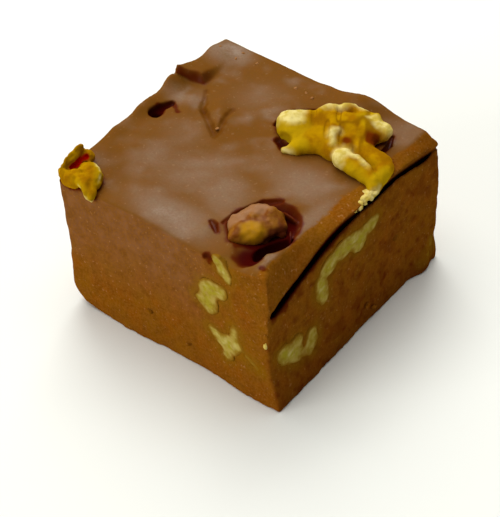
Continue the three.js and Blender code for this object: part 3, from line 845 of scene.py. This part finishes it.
# deep red painted shade in the crevice behind the corner walnut's flake
CREVICE_SHADE = (0.42, 0.004, 0.001)
OLIVE = (0.27, 0.17, 0.016)
OLIVE_TINTS = [
    ("patch", 1, (0.4, 0.29, 0.06)),
    ("green", 1, (0.33, 0.26, 0.02)),
    ("cream", 0.7, (0.52, 0.42, 0.14)),
    ("edge", 1, (0.22, 0.1, 0.006)),
]
COAT = (0.17, 0.045, 0.002)
COAT_TINTS = [
    ("patch", 1, (0.25, 0.092, 0.007)),
    # painted highlight, and painted shade on the dark side
    ("painted_highlight", 1, (0.29, 0.132, 0.05)),
    ("bare", 0.85, (0.4, 0.19, 0.002)),
    ("dark_side_shade", 1, (0.06, 0.006, 0.001)),
]
WHITE = (0.86, 0.865, 0.8, 1)


def fudge_material():
    r = Recipe("milk_chocolate_fudge")
    skin, bloom_and_sheen = r.share("skin"), r.share("bloom_and_sheen")
    mottle = r.level(r.noise(1.4, 4), 0.3, 0.7)
    r.patterns = {
        "blotch": r.level(r.noise(5, 3), 0.35, 0.65),
        "mottle": mottle,
        "fleck": r.level(r.noise(0.35, 3), 0.35, 0.65),
        "speck": r.level(r.noise(0.6, 1), 0.66, 0.74),
        "shine": r.level(bloom_and_sheen, 1.0, 1.7),
    }
    color = r.mix(skin, r.tinted(CUT, CUT_TINTS), r.tinted(POURED, POURED_TINTS))
    color = r.tinted(color, FUDGE_TINTS)
    relief = r.bump(r.noise(0.22, 3), 0.03, 0.7)
    rough = r.sum(r.product(skin, -0.2), 0.62, r.product(mottle, 0.08))
    r.feed(r.shader.inputs["Coat Weight"], r.product(skin, r.level(bloom_and_sheen, 0, 1, 0.03, 0.35)))
    return r.finish(color, rough, relief, Specular_IOR_Level=0.0, Coat_Roughness=0.35)


def kernel_material():
    r = Recipe("walnut_kernel")
    r.patterns = {"patch": r.level(r.noise(2.2, 3), 0.35, 0.65)}
    pale = r.mix(r.level(r.noise(1.3, 3), 0.35, 0.65), FLESH, CREAM)
    color = r.mix(r.share("flesh"), r.tinted(AMBER, AMBER_TINTS), pale)
    color = r.mix(r.share("crevice_shade"), color, CREVICE_SHADE)
    relief = r.bump(r.noise(0.35, 4), 0.05, 0.8)
    return r.finish(color, 0.45, relief, Specular_IOR_Level=0.0)


def cut_material():
    r = Recipe("cut_walnut")
    core = r.share("core")
    r.patterns = {
        "patch": r.level(r.noise(1.2, 3), 0.35, 0.65),
        "green": r.product(core, r.level(r.noise(0.8, 3), 0.3, 0.6)),
        "cream": r.product(core, r.level(r.noise(1.8, 2), 0.5, 0.7)),
    }
    relief = r.bump(r.noise(0.5, 3), 0.04, 0.8)
    return r.finish(r.tinted(OLIVE, OLIVE_TINTS), 0.6, relief, Specular_IOR_Level=0.0)


def coated_material():
    r = Recipe("coated_walnut")
    r.patterns = {"patch": r.level(r.noise(1.5, 3), 0.38, 0.62)}
    relief = r.bump(r.noise(0.4, 3), 0.04, 0.8)
    return r.finish(r.tinted(COAT, COAT_TINTS), 0.42, relief, Specular_IOR_Level=0.08)


# ---- making the pieces ----

# Where the top shines, as painted sheen in its colour and as more coat: middles, half-widths, turn
# and strength.
SHEEN = [
    ((-11.5, -9), (5.5, 4.5), 0, 0.8),
    ((-3, -6), (5, 7), -40, 0.8),
    ((10.5, 0), (6, 4), 0, 1),
    ((3, -9.5), (4, 4), 0, 0.8),
    ((-18.5, 18.4), (3.6, 3.2), 0, 1.6),
    ((-12, -1.5), (4, 4), 0, 0.4),
    ((-17.4, 5.6), (2.6, 1.8), 20, 1.1),
    ((16, 18), (4, 4), 0, 0.6),
    ((-1, -16.8), (7, 2.8), 0, 1.4),
    ((16, -16.5), (1.5, 1.8), 0, 1.4),
    ((16.3, -6), (1.6, 5), 0, 0.9),
    ((-7, 12), (5, 4), 30, 0.5),
]


def ragged(x, y, z):
    """Unevenness that frays the outline of a mark."""
    return 0.3 * grain(x, y, z, 0.9, 60)


def round_crack(x, y, z):
    return crack(x, y, z) + 0.25 * grain(x, y, z, 1.2, 68)


def skin_mark(x, y, z):
    """1 on the poured skin, 0 on the cut faces and on the bare strip along the right edge."""
    side, under = sides(x, y, z), z - top_height(x, y)
    edge = 17.3 + 1.6 * ramp(8, HALF_D, y) + 0.4 * grain(x, y, z, 1.3, 64) - x
    return ramp(-0.15, 0.05, under - side) * ramp(-1.2, -0.5, under) * ramp(-0.1, 0.15, edge)


def hollow_shade_mark(x, y, z):
    """Painted shade, near black: 1 where no light gets, far inside the block, at the lips of the
    crack and in the slot.
    """
    gap = round_crack(x, y, z)
    lips = np.where(z < crack_height(y), ramp(1.0, -0.1, gap), 0.7 * ramp(0.4, -0.1, gap))
    lips = lips * (0.45 + 0.5 * ramp(-2, -10, y)) * ramp(HALF_W - 3, HALF_W - 2.4, x)
    buried = ramp(0.2, 1.0, -block(x, y, z)) * ramp(0.2, 1, z)
    slot = ramp(0.3, -0.2, egg(x, y, z, *SLOT) + ragged(x, y, z))
    return np.maximum.reduce([buried, lips, slot])


def lump_shade(x, y, z):
    """Painted shade on the steep front of the lump, and on its inner end."""
    up = cliff(x, y) / cliff_width(x) + 0.6 * ragged(x, y, z)
    front = ramp(0, 0.3, up) * ramp(1.4, 0.4, up) * ramp(-16.0, -16.5, x)
    end = ramp(0, 0.3, up) * ramp(13.0, 10.5, y) * ramp(-15.7, -16.5, x) * ramp(-17.7, -16.9, x)
    return np.maximum(front, 0.6 * end) * ramp(0.4, 0, sides(x, y, z) + 0.5)


def bed_shade(x, y, z):
    """Painted shade in the beds of the whole nuts, and in all that is carved out of the top."""
    behind_walnut = ramp(-0.5, 1.0, y - 6.5 - 0.2 * x)
    shade = ramp(0.65, 0.2, walnut_top(x, y, z)) * behind_walnut
    for nut in (walnut_corner, walnut_pit):
        shade = np.maximum(shade, ramp(0.65, 0.2, nut(x, y, z)))
    frayed = ragged(x, y, z)
    for shape, _ in PITS + GROOVES:
        shade = np.maximum(shade, ramp(0.4, 0, lump(x, y, z, shape) + frayed))
    return shade


def crack_shade(x, y, z):
    """Painted shade on the right face just below the crack."""
    gap = round_crack(x, y, z) + 2 * ragged(x, y, z)
    below = ramp(1.9, 0.5, gap) * ramp(0.1, -0.1, z - crack_height(y))
    return below * ramp(2, -6, y) * ramp(-20.4, -20, y) * ramp(HALF_W - 4, HALF_W - 3, x)


def painted_shade_mark(x, y, z):
    """Painted shade up to 1: in the hollows, under the crack, and over the right face, most
    towards its bottom, with random darker spots there.
    """
    right = ramp(-0.8, -0.2, x - HALF_W - right_face(y, z)) * ramp(0.3, -0.3, z - crack_height(y))
    lower = ramp(16, 0, z + 3 * grain(x, y, z, 4.0, 65))
    spots = ramp(0.15, 0.6, grain(x, y, z, 1.3, 69)) + ramp(0.3, 0.7, grain(x, y, z, 0.6, 70))
    painted_shade = right * (0.05 + 0.28 * lower + 0.35 * spots) + lump_shade(x, y, z) + bed_shade(x, y, z)
    return np.clip(painted_shade + 0.9 * crack_shade(x, y, z), 0, 1)


def haze_and_sheen_mark(x, y, z):
    """1 on the milky upper part of the front face: a milky haze with painted sheen, lighter
    towards the top.
    """
    milky = ramp(6, 20, z + 2.5 * grain(x, y, z, 3.0, 66)) * ramp(12, 2, x)
    return ramp(-19.5, -20, y) * milky


def bloom_and_sheen_mark(x, y, z):
    """Bloom and painted sheen on the poured top up to 1, and a painted shine past 1; the coat
    follows it too.
    """
    streaks = grain(x * 0.8 + y * 0.6, y * 0.8 - x * 0.6, z, (5.0, 1.6, 4.0), 62)
    bloom_and_sheen = 0.45 * streaks + 0.4 * grain(x, y, z, 2.2, 63) + 0.25 * grain(x, y, z, 1.0, 59)
    for at, size, turn, strength in SHEEN:
        bloom_and_sheen = np.maximum(bloom_and_sheen, bloom_and_sheen * 0.6 + strength * hill(x, y, at, size, turn))
    return np.clip(bloom_and_sheen, 0, 1.7)


def oil_mark(x, y, z):
    """Fudge that the oil of a cut nut has stained."""
    near = np.full(len(x), FAR)
    for shapes in CUT_NUTS.values():
        near = np.minimum(near, cluster(x, y, z, shapes, 0.5))
    return 0.35 * ramp(1.5, 0.0, near + 0.4 * grain(x, y, z, 1.0, 61))


# Painted shade along the creases of the folds.
def crease_shade_mark(x, y, z):
    creases = cluster(x, y, z, FOLDS, 0.3)
    return 0.8 * ramp(0.45, -0.15, creases + 0.35 * grain(x, y, z, 0.8, 67))


FUDGE_MARKS = {
    "skin": skin_mark,
    "hollow": hollow_shade_mark,
    "painted_shade": painted_shade_mark,
    "haze_and_sheen": haze_and_sheen_mark,
    "bloom_and_sheen": bloom_and_sheen_mark,
    "oil": oil_mark,
    "crease_shade": crease_shade_mark,
}


def make_fudge(material):
    piece = mesh_piece("fudge_block", *sculpt_fudge().mesh(), faces=FUDGE_FACES)
    x, y, z = corners(piece)
    for name, mark in FUDGE_MARKS.items():
        paint(piece, name, mark(x, y, z))
    place(piece, "fudge", "fudge", material)


def make_nut(node, shape, shapes, slot, material, marks):
    """A nut sculpted by the function shape, within reach of its shapes, and painted by marks."""
    clay = Clay(*extent(shapes, 0.7), NUT_GRID)
    _, x, y, z = clay.window()
    clay.field = np.broadcast_to(shape(x, y, z), clay.field.shape).astype(np.float32)
    piece = mesh_piece(node + "_piece", *clay.mesh())
    x, y, z = corners(piece)
    for name, values in marks(x, y, z).items():
        paint(piece, name, values)
    place(piece, node, slot, material)


# Where the pale flesh of the top walnut shows through its skin.
FLESH_TOP = [
    ((1.4, 8.9, 27.6), (2.3, 2.3, 2)),
    ((-0.6, 8, 26.4), (0.9, 1.4, 1.3)),
    ([(4.6, 12.8, 28), (5.2, 14, 28.1), (6.6, 15.2, 28.1)], [0.8, 0.9, 0.8]),
    ([(6.6, 15.2, 28.1), (8.2, 16.3, 28), (10, 16.2, 28)], [0.7, 0.6, 0.5]),
    ([(12.4, 14.8, 28.3), (14.3, 14.6, 28.1), (15.6, 14.3, 27.6)], [0.7, 1.1, 1]),
    ([(9.7, 9.7, 28.4), (9.2, 8.7, 28.4), (10.2, 7.4, 27.7)], [0.6, 0.7, 0.5]),
    ((12.7, 6.3, 26.9), (1.7, 2.4, 2)),
    ([(13.6, 6.8, 28.1), (15.4, 6.9, 27.8), (17.4, 6.4, 27.4)], [0.8, 0.7, 0.4]),
    ([(20, 5.2, 25.4), (20.4, 4.2, 24.8)], [0.4, 0.7]),
    ([(4, 3.4, 25.9), (5.2, 3.9, 25.7)], [0.5, 0.4]),
]
# Where its skin is more yellow than amber.
YOLK_TOP = [
    ((2.4, 7.4, 26.4), (3.4, 3.2, 3)),
    ((5, 5.2, 26), (2, 2, 2)),
    ([(13.6, 5.2, 26.2), (16.2, 4.6, 26), (19, 4.6, 25.6)], [1.3, 1.2, 1.2]),
    ((19.6, 6.6, 26), (1.2, 2.4, 1.6)),
    ((12.6, 14.6, 28.2), (2.4, 1.6, 1.4)),
]
# Painted brown shade in its hollows and behind its chip.
SHADE_TOP = [
    ((14.4, 12, 27), (1.6, 1.1, 1.2)),
    ((11.6, 9.3, 27.4), (0.7, 0.6, 0.7)),
]
FLESH_CORNER = [
    ([(-15.4, -20.6, 26.2), (-14.6, -20.9, 25.4), (-13.6, -21, 24.2)], [0.25, 0.5, 0.9]),
    ([(-16.2, -16, 26.9), (-14.5, -17.1, 27.1), (-13.2, -18.8, 26.6)], [0.1, 0.15, 0.1]),
]
# The coated nut: where its coat is broken, a painted highlight where it catches the light, and
# painted shade on its dark side.
BARE_PIT = ((11.2, -13.3, 25.4), (1.9, 1.5, 1.6), (40, 0, 0))
HIGHLIGHT_PIT = ([(7.3, -13.4, 25.4), (8.6, -10.6, 26.8), (11.0, -9.0, 26.6)], [1.2, 1.0, 0.5])
SHADE_PIT = ([(10.9, -13.9, 24.2), (12.9, -12.3, 24.6), (14.2, -10.4, 25.0)], [0.3, 0.9, 0.9])


def top_marks(x, y, z):
    flesh = cluster(x, y, z, FLESH_TOP, 0.3) + 0.4 * grain(x, y, z, 1.0, 71)
    yolk = cluster(x, y, z, YOLK_TOP, 0.6) + 0.6 * grain(x, y, z, 1.4, 76)
    nut_shade = cluster(x, y, z, SHADE_TOP, 0.3) + 0.4 * grain(x, y, z, 1.0, 75)
    veins = bell((ribs(x, y, z) - 0.15) / 0.16) * ramp(7, 8.5, y) * ramp(16, 13, x)
    return {
        "flesh": ramp(0.6, -0.8, flesh),
        "yolk": ramp(0.8, -0.6, yolk),
        "vein": np.maximum(veins, 0.8 * hill(x, y, (5.4, 9.4), (1.6, 2.6), -20)),
        "nut_shade": ramp(0.5, -0.3, nut_shade),
    }


def corner_marks(x, y, z):
    flesh = cluster(x, y, z, FLESH_CORNER, 0.3)
    # The crevice behind the flake gets deep red painted shade.
    gap = strand(x, y, z, CREVICE, [0.55, 0.65, 0.55])
    return {
        "flesh": ramp(0.3, -0.3, flesh + 0.2 * grain(x, y, z, 1.0, 72)),
        "yolk": ramp(0.8, -0.6, flesh - 0.5),
        "vein": 0.5 * ramp(0.2, 0.7, grain(x, y, z, (0.8, 0.8, 3), 73)),
        "crevice_shade": ramp(0.2, -0.2, gap),
    }


def pit_marks(x, y, z):
    rough = 0.4 * grain(x, y, z, 1.0, 74)
    return {
        "bare": ramp(0.5, -0.5, egg(x, y, z, *BARE_PIT) + rough),
        "painted_highlight": ramp(0.5, -0.3, strand(x, y, z, *HIGHLIGHT_PIT) - rough),
        "dark_side_shade": 0.85 * ramp(0.5, -0.4, strand(x, y, z, *SHADE_PIT) + rough),
    }


def cut_marks(x, y, z, shapes):
    inside = cut_nut(x, y, z, shapes)
    return {"edge": ramp(-0.6, -0.05, inside), "core": ramp(-0.6, -1.3, inside)}


# Loose crumbs: their middles and half-sizes.
NUT_CRUMBS = [
    ((20, 4.2, 25), (0.7, 1, 0.6)),
    ((19.4, 3.4, 25.1), (0.8, 0.6, 0.35)),
    ((20.2, 3.2, 24.7), (0.35, 0.4, 0.6)),
    ((19.8, 2.6, 25), (0.7, 0.9, 0.4)),
    ((20.2, 1.8, 24.7), (0.3, 0.35, 0.3)),
    ((19.8, 1.3, 24.9), (0.6, 0.4, 0.25)),
    ((20.2, 0.7, 24.5), (0.25, 0.45, 0.35)),
    ((20, -0.3, 24.5), (0.2, 0.25, 0.2)),
    ((18.9, -21, 13), (0.3, 0.25, 0.55)),
]
FUDGE_CRUMBS = [
    ((20.6, -6.5, 3.4), (0.4, 0.7, 0.5)),
    ((20.4, 2, 3.7), (0.4, 0.5, 0.4)),
    ((20.35, 3.8, 2), (0.35, 0.5, 0.4)),
    ((19.8, -12.5, 12.5), (0.4, 0.6, 0.5)),
    ((20.3, 9.5, 12), (0.35, 0.5, 0.4)),
    ((19, -20.9, 14.8), (0.45, 0.35, 0.5)),
    ((-4, -20.5, 6.5), (0.5, 0.35, 0.4)),
    ((3.5, -20.6, 4), (0.4, 0.3, 0.35)),
]
# Pale specks on the top: where they lie in plan, how far they sink in, and their half-sizes. The
# last is a painted highlight on the tip of the tongue, as a pale speck.
SPECKS = [(-19.6, 17.7), (-16.1, 17.3), (-16.1, 19.2), (-12.7, 18.4)]
SPECKS += [(-2, 17.1), (-0.4, 16.5), (-4.1, 17.2), (-7.7, 2.1)]
SPECK_SINK, SPECK_SIZE = 0.05, (0.28, 0.24, 0.22)


def make_crumbs(name, shapes, slot, material, marks):
    """Small rough bits that sit on the fudge, as one piece with the same marks all over."""
    ball = bmesh.new()
    bmesh.ops.create_icosphere(ball, subdivisions=3, radius=1)
    directions = np.array([corner.co[:] for corner in ball.verts])
    faces = np.array([[corner.index for corner in face.verts] for face in ball.faces])
    ball.free()
    points, triangles = [], []
    for number, (at, size) in enumerate(shapes):
        rough = 1 + 0.6 * grain(*(directions + number).T, 0.8, 81)
        triangles.append(faces + number * len(directions))
        points.append(np.array(at) + directions * rough[:, None] * size)
    mesh = bpy.data.meshes.new(name)
    mesh.from_pydata(np.concatenate(points) * MM, [], np.concatenate(triangles).tolist())
    mesh.polygons.foreach_set("use_smooth", [True] * len(mesh.polygons))
    piece = add_object(name, mesh)
    for mark, value in marks.items():
        paint(piece, mark, np.full(len(mesh.vertices), value))
    place(piece, None, slot, material)


chocolate, kernel, sliced = fudge_material(), kernel_material(), cut_material()
make_fudge(chocolate)
for node, slot, material, marks in (
    ("walnut_top", "walnut_kernel", kernel, top_marks),
    ("walnut_corner", "walnut_kernel", kernel, corner_marks),
    ("walnut_pit", "walnut_coated", coated_material(), pit_marks),
):
    make_nut(node, *WHOLE_NUTS[node], slot, material, marks)
for node, shapes in CUT_NUTS.items():
    nut, marks = partial(flush_nut, shapes=shapes), partial(cut_marks, shapes=shapes)
    make_nut(node, nut, shapes, "walnut_cut", sliced, marks)
specks = [(at, SPECK_SIZE) for at in below_top(SPECKS, SPECK_SINK)]
make_crumbs("nut_crumbs", NUT_CRUMBS, "walnut_kernel", kernel, {"flesh": 0.9})
make_crumbs("fudge_crumbs", FUDGE_CRUMBS, "fudge", chocolate, {"bloom_and_sheen": 0.3})
make_crumbs("pale_crumbs", specks, "fudge", chocolate, {"skin": 1.0, "crumb": 0.9})


# ---- table, light and camera ----

TABLE_HALF = 3.0  # half the width of the table, in metres
# Soft lights: azimuth and elevation in degrees, distance and size in metres, and watts.
# Azimuth 0 is behind the fudge, and 90 on its right.
LIGHTS = {
    "overhead": (-60, 78, 0.8, 0.8, 5.6),
    "back_soft": (-42, 42, 0.9, 0.6, 3.8),
    "front_fill": (205, 15, 0.9, 0.6, 4.6),
}
LIT_POINT = (0, 0, 0.013)  # the middle of the fudge, in metres
WORLD_LIGHT = 0.2
CAMERA_TURN = (40.3, 42.9, -3.3)  # azimuth, elevation and roll, in degrees
CAMERA_AIM = (5.65, -7.70, 13)  # what it looks at, in millimetres
CAMERA_DISTANCE = 0.302  # in metres
LENS, SENSOR = 139.3, 36


def add_floor():
    half = TABLE_HALF
    square = [(-half, -half, 0), (half, -half, 0), (half, half, 0), (-half, half, 0)]
    mesh = bpy.data.meshes.new("table")
    mesh.from_pydata(square, [], [(0, 1, 2, 3)])
    floor = add_object("table", mesh)
    r = Recipe("white_table")
    floor.data.materials.append(r.finish(WHITE, 0.8, Specular_IOR_Level=0.1))


def add_light(name, azimuth, elevation, distance, size, power):
    data = bpy.data.lights.new(name, "AREA")
    data.shape = "SQUARE"
    data.size = size
    data.energy = power
    light = add_object(name, data)
    a, e = math.radians(azimuth), math.radians(elevation)
    aim = Vector((math.sin(a) * math.cos(e), math.cos(a) * math.cos(e), math.sin(e)))
    light.location = Vector(LIT_POINT) + aim * distance
    light.rotation_euler = aim.to_track_quat("Z", "Y").to_euler()


def add_camera():
    azimuth, elevation, roll = (math.radians(d) for d in CAMERA_TURN)
    flat = math.cos(elevation)
    back = Vector((math.sin(azimuth) * flat, -math.cos(azimuth) * flat, math.sin(elevation)))
    level = Vector((math.cos(azimuth), math.sin(azimuth), 0))
    up = back.cross(level)
    right = level * math.cos(roll) + up * math.sin(roll)
    up = up * math.cos(roll) - level * math.sin(roll)
    turn = Matrix((right, up, back)).transposed().to_4x4()
    data = bpy.data.cameras.new("camera")
    data.sensor_width = SENSOR
    data.lens = LENS
    data.clip_start = 0.01
    camera = add_object("camera", data)
    stand = Vector(CAMERA_AIM) * MM + back * CAMERA_DISTANCE
    camera.matrix_world = Matrix.Translation(stand) @ turn
    bpy.context.scene.camera = camera


def light_studio():
    world = bpy.data.worlds.new("studio")
    world.use_nodes = True
    background = next(n for n in world.node_tree.nodes if n.type == "BACKGROUND")
    background.inputs["Color"].default_value = (1, 1, 1, 1)
    background.inputs["Strength"].default_value = WORLD_LIGHT
    bpy.context.scene.world = world
    for name, settings in LIGHTS.items():
        add_light(name, *settings)
    bpy.context.scene.view_settings.view_transform = "Standard"


add_floor()
light_studio()
add_camera()
